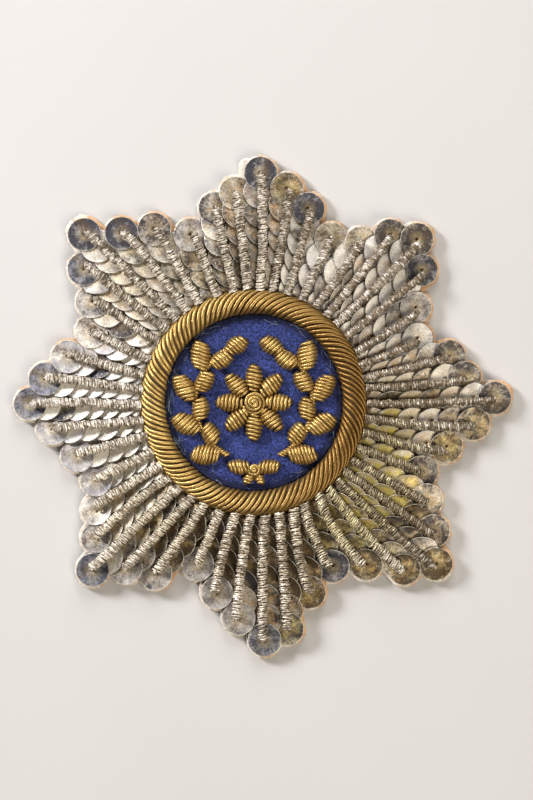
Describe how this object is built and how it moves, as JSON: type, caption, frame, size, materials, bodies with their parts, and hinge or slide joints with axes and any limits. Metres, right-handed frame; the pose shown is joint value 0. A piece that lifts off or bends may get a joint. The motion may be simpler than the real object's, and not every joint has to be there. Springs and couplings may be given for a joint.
{
  "type": "embroidered breast star badge",
  "caption": "Flat eight-pointed star of shingled silver sequins and purl ridges around a padded gold ring, blue felt field and gold wreath.",
  "frame": {"origin": "on the flat back face, under the middle of the gold ring", "axes": "+Z out of the badge's face, +Y to the top point, +X to the right as seen from the front"},
  "size_m": [0.0803, 0.0807, 0.0047],
  "materials": {
    "backing_felt": "matte cream felt with a frayed cut edge",
    "silver_sequin": "tarnished silver foil with faint streaks",
    "silver_purl": "bright faceted coiled silver wire",
    "gold_purl": "smooth coiled gilt wire",
    "blue_felt": "matte wool felt with a short nap"
  },
  "bodies": {
    "root": {"backing": "backing_felt", "sequins_n": "silver_sequin", "sequins_nw": "silver_sequin", "sequins_w": "silver_sequin", "sequins_sw": "silver_sequin", "sequins_s": "silver_sequin", "sequins_se": "silver_sequin", "sequins_e": "silver_sequin", "sequins_ne": "silver_sequin", "purl_n": "silver_purl", "purl_nw": "silver_purl", "purl_w": "silver_purl", "purl_sw": "silver_purl", "purl_s": "silver_purl", "purl_se": "silver_purl", "purl_e": "silver_purl", "purl_ne": "silver_purl", "felt": "blue_felt", "ring": "gold_purl", "wreath_left": "gold_purl", "wreath_right": "gold_purl", "rosette": "gold_purl", "bow": "gold_purl"}
  },
  "joints": []
}
